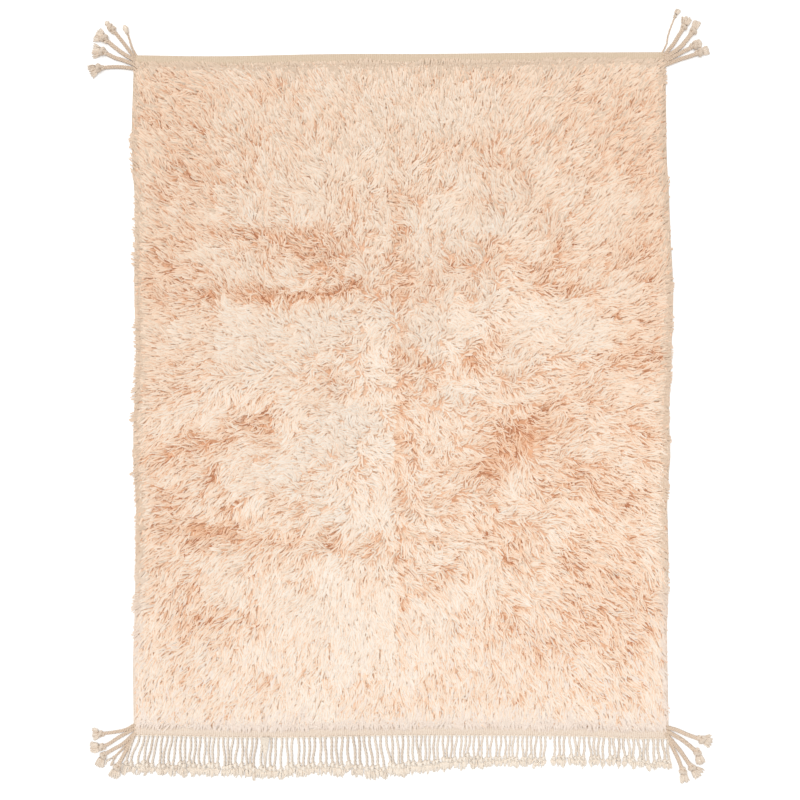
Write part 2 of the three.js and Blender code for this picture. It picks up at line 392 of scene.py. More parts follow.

# How open the pile lies: where it is brushed apart (above 0) its locks stray and thin out, so the deeper
# ones show, and are painted darker and more peach, a painted shade of its depth and gaps; where it lies
# closed and smooth (below 0) they are painted paler, a painted light. Sizes are half lengths, and turns
# are in degrees.
OPENINGS = table(
    "x y long wide open turn",
    (-1.12, 1.15, 0.3, 0.24, 0.08),
    (-0.75, 1.1, 0.2, 0.1, 0.22),
    (-0.66, 1.33, 0.34, 0.08, 0.24),
    (1.06, 1.05, 0.18, 0.13, 0.3),
    (0.66, 1.13, 0.3, 0.08, 0.22),
    (0.45, 1.38, 0.26, 0.08, 0.3),
    (0.8, 1.23, 0.18, 0.05, 0.16),
    (0.28, 1.05, 0.16, 0.05, 0.26),
    (0.22, 1.05, 0.26, 0.28, -0.15),
    (0.13, 1.22, 0.3, 0.12, -0.14),
    (-0.18, 1.02, 0.22, 0.1, -0.12),
    (-1.05, 0.9, 0.16, 0.12, 0.1),
    (-1.04, 0.56, 0.15, 0.12, 0.3),
    (-0.56, 0.7, 0.34, 0.05, 0.36, -3),
    (-0.42, 0.6, 0.26, 0.06, 0.32, -3),
    (-0.5, 0.435, 0.31, 0.036, 0.8, 2),
    (-0.33, 0.43, 0.13, 0.035, 0.45),
    (-0.62, 0.8, 0.25, 0.06, -0.1),
    (0.03, 0.5, 0.05, 0.12, 0.18),
    (0.36, 0.53, 0.34, 0.05, 0.12),
    (0.71, 0.61, 0.08, 0.06, 0.32),
    (0.73, 0.44, 0.06, 0.05, 0.66),
    (1.08, 0.56, 0.15, 0.12, 0.16),
    (0.21, 0.79, 0.16, 0.08, -0.26),
    (-0.55, 0.26, 0.44, 0.1, -0.36),
    (0.17, 0.27, 0.12, 0.12, -0.26),
    (0.36, 0.35, 0.38, 0.07, -0.3),
    (0.78, 0.27, 0.18, 0.08, -0.22),
    (1.00, 0.16, 0.13, 0.05, 0.42, 10),
    (0.34, 0.19, 0.06, 0.06, 0.28),
    (-0.3, 0.08, 0.1, 0.04, 0.38),
    (0.05, 0.05, 0.05, 0.13, 0.22),
    (0.72, -0.02, 0.14, 0.06, 0.2),
    (-0.61, -0.1, 0.09, 0.04, 0.38),
    (-0.84, -0.19, 0.18, 0.06, 0.44, 8),
    (0.53, -0.18, 0.14, 0.1, 0.55, 20),
    (0.48, -0.2, 0.28, 0.18, 0.14, 20),
    (0.35, -0.33, 0.11, 0.06, 0.54, 10),
    (-0.15, -0.16, 0.15, 0.2, -0.44),
    (-0.5, -0.3, 0.16, 0.08, -0.32),
    (-0.36, -0.13, 0.12, 0.1, -0.2),
    (-0.92, -0.06, 0.12, 0.05, -0.2),
    (-1.00, -0.44, 0.05, 0.04, 0.4),
    (-0.8, -0.6, 0.22, 0.065, 0.62, -4),
    (-1.08, -0.2, 0.24, 0.5, 0.12),
    (0.95, -0.9, 0.36, 0.44, 0.16),
    (-0.36, -0.64, 0.24, 0.045, 0.48),
    (-0.14, -0.53, 0.28, 0.06, -0.3),
    (0.86, -0.42, 0.2, 0.07, 0.26),
    (0.75, -0.71, 0.07, 0.04, 0.3),
    (0.2, -0.77, 0.07, 0.06, 0.32),
    (-0.88, -0.95, 0.1, 0.07, 0.34),
    (0.55, -1.00, 0.28, 0.08, 0.22),
    (-0.2, -0.95, 0.34, 0.2, -0.34),
    (-0.25, -1.37, 0.95, 0.24, -0.22),
    (-0.004, 0.1, 1.00, 0.026, 0.2, 90),
    (-0.012, -0.8, 0.24, 0.022, 0.26, 90),
    (-0.12, -1.14, 0.28, 0.09, -0.16),
    (-0.62, -1.25, 0.06, 0.06, 0.26),
)

# The fold down the middle and the sharper partings, where the pile is lower and thinner and painted
# darker, a painted shade in the parting: middle, half length, half width, turn, depth
PARTINGS = table(
    "x y long wide turn deep",
    (0.002, -0.05, 0.95, 0.017, 90, 0.6),
    (0.034, 0.55, 0.12, 0.022, 90, 0.9),
    (0.024, 0.03, 0.09, 0.02, 90, 0.3),
    (0.01, -0.24, 0.12, 0.02, 90, 0.8),
    (-0.5, 0.432, 0.29, 0.022, 2, 1.0),
    (-0.52, 0.68, 0.3, 0.03, -4, 0.45),
    (0.55, -0.22, 0.2, 0.04, 25, 0.9),
    (-0.82, -0.6, 0.2, 0.025, -4, 0.8),
)


def soft_noise(x, y, pitch, seed):
    """Smooth chance from 0 to 1, the same at the same place, with lumps about a pitch across."""
    lumps = np.random.default_rng(seed).random((256, 256))
    u = x / pitch + 128
    v = y / pitch + 128
    i = np.floor(u).astype(int)
    j = np.floor(v).astype(int)
    fu = (u - i) ** 2 * (3 - 2 * (u - i))
    fv = (v - j) ** 2 * (3 - 2 * (v - j))
    near, far = [
        lumps[row % 256, i % 256] * (1 - fu) + lumps[row % 256, (i + 1) % 256] * fu
        for row in (j, j + 1)
    ]
    return near * (1 - fv) + far * fv


def patches(x, y, pitches, seed):
    """Light and dark patches of several sizes at once, about even on both sides of 0."""
    total = np.zeros_like(x)
    for number, pitch in enumerate(pitches):
        total += soft_noise(x, y, pitch, seed + number) - 0.5
    return total


def rising(value, start, over):
    """From 0 at a start, evenly up to 1 a distance further on. Below 0, that is a distance back."""
    return np.clip((value - start) / over, 0, 1)


def unrest_at(x, y):
    """How unsettled the lay is: 0 near the borders, rising to 1 in the middle of the rug."""
    from_middle = np.hypot(x / rug_high.x, (y - 0.1) / rug_high.y)
    return np.clip(1.2 - 1.45 * from_middle, 0, 1)


def heading_at(x, y):
    """The lay's heading at each place, in radians: near rows of the table count the most. It is
    steady near the borders, and swirls more and more towards the middle."""
    east = np.zeros_like(x)
    north = np.zeros_like(x)
    for row in LAY:
        near = np.exp(-((x - row["x"]) ** 2 + (y - row["y"]) ** 2) / LAY_REACH**2) + 1e-6
        east += near * np.cos(np.radians(row["heading"]))
        north += near * np.sin(np.radians(row["heading"]))
    unrest = unrest_at(x, y)
    swirl = patches(x, y, (0.13,), 33) * (0.5 + 4 * unrest)
    swirl += patches(x, y, (0.05,), 34) * (0.4 + 1.5 * unrest)
    return np.arctan2(north, east) + swirl


def nearness(row, x, y):
    """How near each place is to a table row's middle: 1 there, falling to 0 past its half sizes."""
    turn = np.radians(row["turn"])
    along = (x - row["x"]) * np.cos(turn) + (y - row["y"]) * np.sin(turn)
    across = (y - row["y"]) * np.cos(turn) - (x - row["x"]) * np.sin(turn)
    return np.exp(-((along / row["long"]) ** 2) - (across / row["wide"]) ** 2)


def end_room(x, y):
    """How far in from the nearer end strip each place is."""
    return np.minimum(y - lower_end(x), upper_end(x) - y) - END_STRIP


def inward_at(x, y, reach):
    """How far in from the pile's border each place is: 0 on it, 1 past the reach."""
    side = np.minimum(x - left_edge(y), right_edge(y) - x)
    return rising(np.minimum(side, end_room(x, y)), 0, reach)


def open_at(x, y):
    """How open the pile lies at each place, from 0, closed and smooth, to 1, brushed apart."""
    inward = inward_at(x, y, 0.14)
    x = x + 0.05 * patches(x, y, (0.11, 0.05), 81)
    y = y + 0.05 * patches(x, y, (0.11, 0.05), 91)
    total = 0.29 - 0.04 * y + 0.06 * rising(np.abs(x), 0.75, 0.3)
    for row in OPENINGS:
        total = total + row["open"] * nearness(row, x, y)
    total = total + OPEN_CHANCE * patches(x, y, (0.12, 0.06, 0.03), 61)
    calm = 1 - 0.3 * rising(y, 1.0, 0.3)
    return np.clip(total * calm * (0.4 + 0.6 * inward), 0, 1)


def parted_at(x, y):
    """How far the pile is parted at each place, from 0 to 1, in broken lines."""
    parted = np.zeros_like(x)
    for row in PARTINGS:
        parted = np.maximum(parted, row["deep"] * nearness(row, x, y))
    patchy = 0.6 * soft_noise(x, y, 0.06, 5) + 0.4 * soft_noise(x, y, 0.03, 6)
    return np.clip(parted * np.clip(patchy * 2.6 - 0.55, 0, 1.3), 0, 1)


def tone_at(x, y):
    """The wool's tone at each place, from 0, tan, to 1, the palest. It falls towards the upper end, the
    upper sides and the side borders, and, as painted shade, where the pile lies open, and it wanders in
    patches.
    """
    side = rising(np.abs(x), 0.65, 0.45) * rising(y, -0.3, 0.6)
    tone = 0.58 - np.where(y > 0, 0.31, 0.18) * y / rug_high.y - 0.28 * side
    tone = tone - 0.09 * rising(np.abs(x), 0.75, 0.3) - 0.3 * (open_at(x, y) - 0.3)
    return np.clip(tone + 0.25 * patches(x, y, (0.12, 0.05), 51), 0.02, 0.98)


def colour_ramp(share, stops, column):
    """The colour at a share of the way along a ramp: one column of a table of colours by place."""
    ramp = add_node(share.id_data, "ShaderNodeValToRGB", Fac=share)
    marks = ramp.color_ramp.elements
    marks[1].position = stops[-1]["place"]
    for row in stops[1:-1]:
        marks.new(row["place"])
    for mark, row in zip(marks, stops):
        mark.color = as_linear(*row[column])
    return ramp.outputs[0]


def wool_fibres():
    """Fine wool fibres that run along a yarn: their relief, and the light and dark between them."""
    tree, given, out = surface_group("wool_fibres", {"Fibres": 300.0, "Length": 6.0})
    along, around, up = axes_of(given["Place"])
    place = add_node(
        tree,
        "ShaderNodeCombineXYZ",
        X=times(along, given["Length"]),
        Y=times(around, given["Fibres"]),
        Z=up,
    )
    noise = noise_at(place.outputs[0], 1.0, 2.0, 0.6)
    feed(out["Height"], noise)
    feed(out["Shade"], spread_out(noise, 0.3, 0.7))
    return tree


wool_fibres_group = wool_fibres()


def carded_wool(name, roughness, sheen, fibres, length):
    """A wool coloured off the shade card. Returns its material and shader, its places across and
    up the card, and its fibres."""
    material, tree, shader = new_material(name, roughness, sheen)
    card = add_node(tree, "ShaderNodeUVMap", uv_map="OFBake").outputs[0]
    across, up, _ = axes_of(card)
    fine = add_node(
        tree,
        "ShaderNodeGroup",
        node_tree=wool_fibres_group,
        Place=card,
        Fibres=fibres,
        Length=length,
    )
    return material, shader, across, up, fine.outputs


# The pile's colours along the shade card, from deep to tip: painted shade, darker and more peach the
# deeper in the pile. Darker and paler are the tan and the palest wool.
PILE_COLOURS = table(
    "place darker paler",
    (0, (176, 102, 62), (196, 122, 80)),
    (0.35, (229, 171, 131), (245, 193, 153)),
    (0.68, (247, 210, 180), (255, 228, 201)),
    (0.95, (252, 230, 206), (255, 249, 238)),
)


def pile_wool():
    """Blush wool, dyed pale. Along its card it is painted with light and shade: cream at the lit tips,
    peach in the shaded depth of the pile.
    """
    material, shader, across, up, fibres = carded_wool("pile_wool", 0.9, 0.25, 110.0, 9.0)
    darker = colour_ramp(across, PILE_COLOURS, "darker")
    paler = colour_ramp(across, PILE_COLOURS, "paler")
    colour = mix_colours(up, darker, paler)
    undyed_up = times(up, 1 / UNDYED_CARD)
    undyed = mix_colours(undyed_up, as_linear(222, 198, 170), as_linear(255, 247, 239))
    plain = times(math_node("LESS_THAN", up, UNDYED_CARD), 0.85)
    colour = mix_colours(plain, colour, undyed)
    faint = times(fibres["Shade"], 0.3)
    lit = mix_colours(faint, colour, as_linear(228, 180, 146))
    dress(shader, lit, fibres["Height"], 0.3, 0.0008)
    return material


pile_finish = pile_wool()


def pile_height(x, y):
    """How high the pile stands above the weave: lower near its border and where it is parted."""
    inward = inward_at(x, y, 0.045)
    shoulder = 0.5 + 0.5 * np.sqrt(1 - (1 - inward) ** 2)
    lumps = 0.005 * patches(x, y, (0.11, 0.05), 12) - 0.003 * open_at(x, y)
    full = PILE_TOP - WEAVE_THICK
    return shoulder * (full - 0.003 + lumps - 0.008 * parted_at(x, y))


# The mass of the wool below the tips: the locks' lower halves, packed together
MASS_PITCH = 0.019
MASS_HIGH = 0.42
SUNK_IN = 0.001
mass_steps = [int(size / MASS_PITCH) for size in (rug_wide, rug_long)]
across, along = np.meshgrid(*[np.linspace(0, 1, steps) for steps in mass_steps])
mass_x, mass_y = weave_point(0.006 + 0.988 * across, 0.014 + 0.972 * along)
chance = np.random.default_rng(21)
mass_z = WEAVE_THICK + pile_height(mass_x, mass_y) * (MASS_HIGH + 0.14 * chance.random(mass_x.shape))
on_rim = (across % 1 == 0) | (along % 1 == 0)
mass_z = np.where(on_rim, WEAVE_THICK - SUNK_IN, mass_z)
mass_points = np.stack([mass_x, mass_y, mass_z], -1).reshape(-1, 3)
# On the card the mass lies deep and darker, and darker still where the pile lies open: painted shade of
# the pile's depth
mass_card = np.stack([
    0.6 - 0.45 * open_at(mass_x, mass_y) + 0.1 * chance.random(mass_x.shape),
    0.05 + 0.9 * tone_at(mass_x, mass_y) + CARD_LIFT * (chance.random(mass_x.shape) - 0.5),
], -1).reshape(-1, 2)
pile_mass = make_object(
    "pile_mass", mass_points, [grid_faces(*across.shape[::-1])], mass_card, pile_finish
)
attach(pile_mass, "root")


def lock_roots(number, chance):
    """Where the locks are knotted in: staggered rows over the ground, each place a little off."""
    pitch = np.sqrt(rug_wide * rug_long / number)
    across, along = np.meshgrid(
        *[np.arange(0.5, size / pitch) * pitch / size for size in (rug_wide, rug_long)]
    )
    across = across + (np.arange(len(across)) % 2 - 0.5)[:, None] * pitch / rug_wide / 2
    across = across + (chance.random(across.shape) - 0.5) * 0.9 * pitch / rug_wide
    along = along + (chance.random(along.shape) - 0.5) * 0.9 * pitch / rug_long
    across = 0.011 + 0.979 * np.clip(across, 0, 1).ravel()
    along = 0.019 + 0.963 * np.clip(along, 0, 1).ravel()
    return np.stack(weave_point(across, along), -1)


def tuft_of(place, pitch, seed):
    """The tuft that each place belongs to, as the nearest of a grid of shifted middles. Returns the
    middle, how far in from the tuft's edge the place is, and the tuft's own chances."""
    shift = (np.random.default_rng(seed).random((128, 128, 2)) - 0.5) * 0.8
    best = np.full(len(place), np.inf)
    second = best
    middle = place.copy()
    number = np.zeros(place.shape, int)
    for step in np.ndindex(3, 3):
        cell = np.floor(place / pitch).astype(int) + np.array(step) - 1
        near = (cell + 0.5 + shift[cell[:, 1] % 128, cell[:, 0] % 128]) * pitch
        away = np.hypot(*(near - place).T) / pitch
        closer = away < best
        second = np.where(closer, best, np.minimum(second, away))
        best = np.where(closer, away, best)
        middle = np.where(closer[:, None], near, middle)
        number = np.where(closer[:, None], cell % 128, number)
    own = np.random.default_rng(seed + 1).random((128, 128, 6))[number[:, 1], number[:, 0]]
    return middle, second - best, own


def pointing(heading):
    """The floor directions ahead and to the left of each heading."""
    ahead = np.stack([np.cos(heading), np.sin(heading)], -1)
    return ahead, np.stack([-ahead[..., 1], ahead[..., 0]], -1)


def at_height(place, high):
    """Points on the floor lifted to their heights."""
    return np.concatenate([place, high[:, None]], 1)


def room_within(start, end, chance):
    """The share of each lock's way that keeps its tip over the pile's border. Over the end strips
    the tips stop at many places, so that the pile thins out softly there."""
    x, y = end.T
    scallop = np.clip(1.8 * soft_noise(x, y, 0.05, 41) - 0.4, 0, 1)
    uneven = chance.random(len(x)) ** 1.5
    bare = 0.011 * rising(y, -1.1, -0.08)
    left = left_edge(y) + 0.006 - 0.026 * scallop**1.5 + bare
    right = right_edge(y) - 0.004 + 0.011 * scallop**1.5
    wander = soft_noise(x, y, 0.13, 43)
    low = lower_end(x) + END_STRIP * (0.15 + 0.45 * uneven + 0.3 * scallop + 0.5 * wander)
    high = upper_end(x) - END_STRIP * (0.3 + 0.35 * uneven + 0.3 * scallop + 0.45 * wander)
    share = np.ones_like(x)
    for line, axis, sign in ((left, 0, -1), (right, 0, 1), (low, 1, -1), (high, 1, 1)):
        room = ((line - start[:, axis]) * sign).clip(0.004)
        way = (end[:, axis] - start[:, axis]) * sign
        share = np.where(way > 1e-5, np.minimum(share, room / way.clip(1e-5)), share)
    return share[:, None]


# A lock's points are its root, the left, right and ridge of its bend, and the left and right of its
# blunt tip. Its faces are made of those, and so are its places from root to tip on the shade card.
LOCK_SIZE = 6
LOCK_RIDGE = 3
LOCK_TRIANGLES = np.array([[0, 2, 3], [0, 3, 1], [2, 5, 3], [3, 5, 4], [3, 4, 1], [0, 1, 2]])
LOCK_UNDERSIDE = np.array([[1, 4, 5, 2]])
# Painted shade along each lock: darker at its root, deep in the pile, and down the sides of its bend
# than on its ridge and tip. Sides and roots shift with how open the pile lies, and one flank of each
# lock is painted lighter and the other darker, as a lit and a shaded side.
LOCK_SHADES = np.array([0.1, 0.74, 0.74, 0.97, 1.0, 1.0])
LOCK_SIDES = np.array([0, 1, 1, 0, 0, 0])
LOCK_ROOTS = np.array([1, 0, 0, 0, 0, 0])
LOCK_FLANKS = np.array([0, 1, -1, 0, 1, -1])
LOCK_LIFTS = np.array([0, 1, -1, 0, 0.6, -0.6])


def grow_locks(layer):
    """All the locks of a layer: their points, their places on the shade card, and their roots."""
    chance = np.random.default_rng(layer["seed"])
    root = lock_roots(layer["locks"], chance)
    gone = layer["thinned"] * (0.7 * parted_at(*root.T) + 0.5 * open_at(*root.T))
    root = root[chance.random(len(root)) > gone]
    count = len(root)
    middle, _, own = tuft_of(root, TUFT_PITCH, 35)
    opened = open_at(*root.T)
    closed = rising(opened, 0.45, -0.45)
    unrest = unrest_at(*root.T)

    # The clump it shows in, where the tufts' tips run together, and the creases between clumps, where
    # the locks are lower and painted darker, a painted shade between clumps
    shown = root + pointing(heading_at(*root.T))[0] * layer["reach"] * 0.7
    parted = parted_at(*shown.T)
    strayed = [patches(*shown.T, (0.03, 0.017), seed) for seed in (14, 17)]
    shown = shown + 0.016 * np.stack(strayed, -1)
    _, edge, clump = tuft_of(shown, CLUMP_PITCH, 45)
    broken = np.clip(2.4 * soft_noise(*shown.T, 0.04, 19) - 0.5, 0, 1)
    crease = rising(edge, CREASE_WIDTH, -CREASE_WIDTH) * broken
    deep = (chance.random(count) < 0.006 + 0.2 * opened**1.5 + crease * opened) * chance.random(count)

    # Its way over the floor, from the root to the bend and on to the tip
    own_turn = (own[:, 1] - 0.5) * (0.3 + 0.6 * unrest + 0.6 * opened)
    own_turn += (clump[:, 1] - 0.5) * (0.2 + 0.9 * unrest + 1.0 * opened)
    loose = 0.4 + 1.3 * opened + 0.8 * np.clip(-0.9 - root[:, 1], 0, 0.4)
    own_turn += chance.normal(0, 1, count) * layer["stray"] * loose
    heading = heading_at(*(0.6 * root + 0.4 * middle).T) + own_turn
    reach = layer["reach"] * (0.8 + 0.4 * chance.random(count)) * (0.85 + 0.3 * own[:, 0] - 0.1 * parted)
    reach = reach * (1 - 0.22 * unrest) * (1 + 0.25 * deep)
    ahead, aside = pointing(heading)
    off_middle = ((root - middle) * aside).sum(1)
    flank = np.clip(np.abs(off_middle) / (TUFT_PITCH / 2), 0, 1.2)
    drawn = -layer["drawn"] * off_middle[:, None] * aside
    bend = root + ahead * reach[:, None] * LOCK_BEND + 0.3 * drawn
    turn = heading_at(*(bend + 0.3 * ahead * reach[:, None]).T) + own_turn - heading
    turn = np.arctan2(np.sin(turn), np.cos(turn)).clip(-0.8, 0.8)
    turn += (own[:, 2] - 0.5) * (0.4 + 0.8 * unrest + 0.5 * opened) + chance.normal(0, 0.14, count)
    ahead, aside = pointing(heading + turn)
    tip = bend + ahead * reach[:, None] * (1 - LOCK_BEND) + 0.7 * drawn
    kept = room_within(root, tip, chance)
    bend = root + (bend - root) * kept
    tip = root + (tip - root) * kept

    # Its heights, and the ridged, blunt-ended shape around its way
    uneven = (0.05 + 0.1 * opened) * (chance.random(count) - 0.5) + 0.12 * (own[:, 4] - 0.5)
    sunk = (0.08 + 0.06 * opened) * flank**2 + (0.05 + 0.15 * opened) * crease
    dome = (0.93 + uneven - sunk + 0.03 * deep) * (layer["high"] + layer["filled"] * closed)
    bend_high = WEAVE_THICK + pile_height(*bend.T) * dome
    droop = TIP_DROOP + 0.1 * (chance.random(count) - 0.5) - 0.7 * (1 - inward_at(*tip.T, 0.03)) ** 2
    tip_high = WEAVE_THICK + pile_height(*tip.T) * dome * droop
    girth = layer["wide"] / 2 * (0.75 + 0.5 * chance.random(count)) * (1.18 - 0.4 * opened)
    girth = girth * (1 - 0.6 * deep)
    out = aside * girth[:, None]
    side_high = bend_high - 2 * girth * (LOCK_THICK + 0.3 * opened)
    points = np.stack([
        at_height(root, np.full(count, WEAVE_THICK - SUNK_IN)),
        at_height(bend + out, side_high),
        at_height(bend - out, side_high),
        at_height(bend, bend_high),
        at_height(tip + out * TIP_WIDTH, tip_high),
        at_height(tip - out * TIP_WIDTH, tip_high),
    ], 1)

    # Its places on the shade card: root to tip across the card, its own tone upwards. Much of it is
    # painted shade: locks are darker at the flanks of their tufts, in creases and partings and where the
    # pile lies open, and paler where it lies closed; they are also a little darker near the upper end.
    # Some locks are deep ones, thinner, a little longer and painted dark to their tips as the shade in
    # the gaps, and more of them where the pile lies open.
    shade = layer["shade"] + (layer["filled"] + 0.05) * closed - 0.26 * opened
    shade = shade - 0.08 * flank**3 - 0.36 * parted - (0.06 + 0.9 * opened) * crease
    shade = shade + 0.26 * (chance.random(count) - 0.5) - 0.04 * rising(root[:, 1], 0.9, 0.3)
    shade = shade - DEEP_LOCKS * deep * (0.15 + 1.4 * opened)
    tone = tone_at(*root.T) + 0.16 * (own[:, 5] - 0.5) + 0.16 * (clump[:, 5] - 0.5)
    tone = 0.05 + 0.9 * np.clip(tone + chance.normal(0, 0.06, count), 0.02, 1)

    # Towards the ends and the selvedges, more and more of the ground's own undyed wool shows among the
    # locks, and some undyed locks are mixed in all over both ends. Locks whose tips lie by a side border
    # are darker. The undyed wool is paler near the lower end and a darker tan elsewhere: painted light
    # and shade, as on the end strips.
    side_room = np.minimum(tip[:, 0] - left_edge(tip[:, 1]), right_edge(tip[:, 1]) - tip[:, 0])
    shade = shade - 0.16 * rising(side_room, 0.016, -0.016)
    mixed_in = np.where(tip[:, 1] > 0, UNDYED_REACH, 0.075)
    mixed_in = mixed_in * np.clip(2.6 * soft_noise(*tip.T, 0.07, 47) - 0.3, 0.25, 1.75)
    undyed = np.maximum(0.9 - end_room(*tip.T) / mixed_in, 1.0 - side_room / 0.032)
    undyed = np.maximum(undyed, 0.15 * (np.abs(root[:, 1]) - 0.4))
    plain = chance.random(count) < undyed
    undyed_tone_and_light = 0.85 - 0.63 * rising(root[:, 1], -1.15, 0.5)
    tone = np.where(plain, undyed_tone_and_light * UNDYED_CARD, tone)
    lift = np.where(plain, CARD_LIFT / 3, CARD_LIFT)[:, None]
    sides = LOCK_SIDES * (0.02 - 0.42 * opened)[:, None] + LOCK_ROOTS * (0.32 - 0.8 * opened)[:, None]
    sides = sides + LOCK_FLANKS * np.where(chance.random(count) < 0.5, 0.21, -0.21)[:, None]
    across = (shade[:, None] * (LOCK_SHADES + sides)).clip(0.02, 0.98)
    upward = tone[:, None] + lift * LOCK_LIFTS
    return points, np.stack([across, upward], -1), root


for layer in LAYERS:
    lock_points, lock_card, root = grow_locks(layer)
    strip_of = (root[:, 1] - rug_low.y) / rug_long * layer["strips"]
    for strip in range(layer["strips"]):
        chosen = strip_of.astype(int) == strip
        first = np.arange(chosen.sum())[:, None, None] * LOCK_SIZE
        piece = make_object(
            f"{layer['name']}_{strip + 1}",
            lock_points[chosen].reshape(-1, 3),
            [(first + LOCK_TRIANGLES).reshape(-1, 3), (first + LOCK_UNDERSIDE).reshape(-1, 4)],
            lock_card[chosen].reshape(-1, 2),
            pile_finish,
        )
        edge_ends = np.zeros(len(piece.data.edges) * 2, np.int32)
        piece.data.edges.foreach_get("vertices", edge_ends)
        below_ridge = (edge_ends.reshape(-1, 2) % LOCK_SIZE != LOCK_RIDGE).all(1)
        sharp = piece.data.attributes.new("sharp_edge", "BOOLEAN", "EDGE")
        sharp.data.foreach_set("value", below_ridge)
        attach(piece, "root")

# ---------- Fringe
# The warps left at the lower end, twisted into cords and each tied in an overhand knot over a short
# cut brush. One cord has come untwisted into a loose bundle, and one is cut off near its root.
FRINGE_CORDS = 111
CORD_RADIUS = 0.005
CORD_LAY = 0.033
CORD_PITCHES = table(
    "x pitch",
    (-1.175, 0.02),
    (-0.62, 0.0205),
    (-0.55, 0.0237),
    (-0.04, 0.0237),
    (0.04, 0.019),
    (0.55, 0.0192),
    (0.62, 0.021),
    (1.19, 0.0212),
)
FRINGE_TIPS = table(
    "x y",
    (-1.175, -1.668),
    (-0.8, -1.672),
    (-0.57, -1.692),
    (-0.29, -1.672),
    (-0.08, -1.686),
    (0.12, -1.66),
    (0.3, -1.64),
    (0.7, -1.632),
    (1.00, -1.634),
    (1.185, -1.65),
)
FRINGE_LEAN = table(
    "x shift",
    (-1.175, -0.056),
    (-1.14, -0.046),
    (-1.1, -0.032),
    (-1.05, -0.026),
    (-1.000, -0.016),
    (-0.93, -0.006),
    (-0.8, -0.008),
    (-0.56, -0.006),
    (-0.3, 0.004),
    (-0.09, 0.018),
    (0.15, -0.006),
    (0.6, -0.007),
    (0.9, 0.004),
    (1.185, 0.01),
)
FRINGE_TUFTS = table(
    "x size cord brush",
    (-1.175, 1.15, 1.02, 0.021),
    (-0.5, 1.22, 1.07, 0.022),
    (-0.2, 1.22, 1.2, 0.022),
    (0.1, 1.22, 0.97, 0.021),
    (0.45, 1.02, 0.88, 0.015),
    (1.185, 1.00, 1.14, 0.012),
)
LOOSE_BUNDLE_X = -0.591
LOOSE_STRANDS = 16
CUT_STUB_X = 0.66
NEAREST_CORD = 0.0105
STUB_LENGTH = 0.02
# How far painted shade darkens a yarn down its sides and underneath, on the card
SIDE_SHADE = 0.25
FLOOR_GAP = 0.0002


def yarn(path, radii, sides, tone, shades, lobe=0.0, turns=0.0, down=SIDE_SHADE):
    """A closed yarn along a path, pointed at both ends. A lobe swells two sides of it into plies
    that turn so many times on the way. It is painted darker down its sides and underneath, a painted
    shade, and changes from one end to the other by its shades. Returns its points, faces and places on
    the shade card."""
    path = np.asarray(path, float)
    share = np.linspace(0, 1, len(path))
    ahead = np.gradient(path, axis=0)
    ahead /= np.linalg.norm(ahead, axis=1, keepdims=True) + 1e-12
    sideways = np.stack([-ahead[:, 1], ahead[:, 0], np.zeros(len(path))], -1)
    sideways /= np.linalg.norm(sideways, axis=1, keepdims=True) + 1e-12
    upward = np.cross(ahead, sideways)
    spoke = 2 * np.pi * np.arange(sides) / sides
    reach = 1 + lobe * np.cos(2 * spoke)
    angle = spoke + 2 * np.pi * turns * share[1:-1, None]
    out = np.cos(angle)[..., None] * sideways[1:-1, None] + np.sin(angle)[..., None] * upward[1:-1, None]
    rings = path[1:-1, None] + (np.asarray(radii)[1:-1, None] * reach)[..., None] * out
    points = np.concatenate([path[:1], rings.reshape(-1, 3), path[-1:]])
    points[:, 2] = points[:, 2].clip(FLOOR_GAP)
    number = 1 + np.arange(rings.shape[0] * sides).reshape(-1, sides)
    turned = np.roll(number, -1, axis=1)
    quads = np.stack([number[:-1], turned[:-1], turned[1:], number[1:]], -1).reshape(-1, 4)
    last = np.full(sides, len(points) - 1)
    ends = np.concatenate([
        np.stack([turned[0], number[0], np.zeros(sides, int)], -1),
        np.stack([number[-1], turned[-1], last], -1),
    ])
    u = shades[0] + (shades[1] - shades[0]) * share
    # Painted shade: darker down the sides and underneath
    sunk = down * (1 - out[..., 2].ravel())
    u = np.concatenate([u[:1], np.repeat(u[1:-1], sides) + sunk, u[-1:]]).clip(0, 1)
    lift = CARD_LIFT * np.concatenate([[0], np.tile(np.cos(spoke + 0.4), len(rings)), [0]])
    card = np.stack([0.03 + 0.94 * u, 0.05 + 0.9 * tone + lift], -1)
    return points, quads, ends, card


CORD_COLOURS = table(
    "place shade",
    (0, (255, 246, 233)),
    (0.35, (246, 228, 208)),
    (0.65, (231, 207, 182)),
    (1, (198, 166, 135)),
)


def warp_wool():
    """Natural undyed wool cord: ivory on top, and tan between its plies and down its sides, a painted
    shade.
    """
    material, shader, across, up, fibres = carded_wool("warp_wool", 0.9, 0.2, 420.0, 40.0)
    shade = colour_ramp(across, CORD_COLOURS, "shade")
    worn = math_node("POWER", math_node("SUBTRACT", 1.0, up), 2.0)
    toned = mix_colours(times(worn, 0.76), shade, as_linear(208, 184, 161))
    faint = times(fibres["Shade"], 0.14)
    colour = mix_colours(faint, toned, as_linear(206, 178, 148))
    dress(shader, colour, fibres["Height"], 0.4, 0.0006)
    return material


cord_finish = warp_wool()


def join_yarns(name, yarns):
    """One object made of many yarns."""
    points, quads, ends, cards = zip(*yarns)
    first = np.cumsum([0] + [len(p) for p in points[:-1]])
    faces = [np.concatenate([f + n for f, n in zip(kind, first)]) for kind in (quads, ends)]
    return make_object(name, np.concatenate(points), faces, np.concatenate(cards), cord_finish)


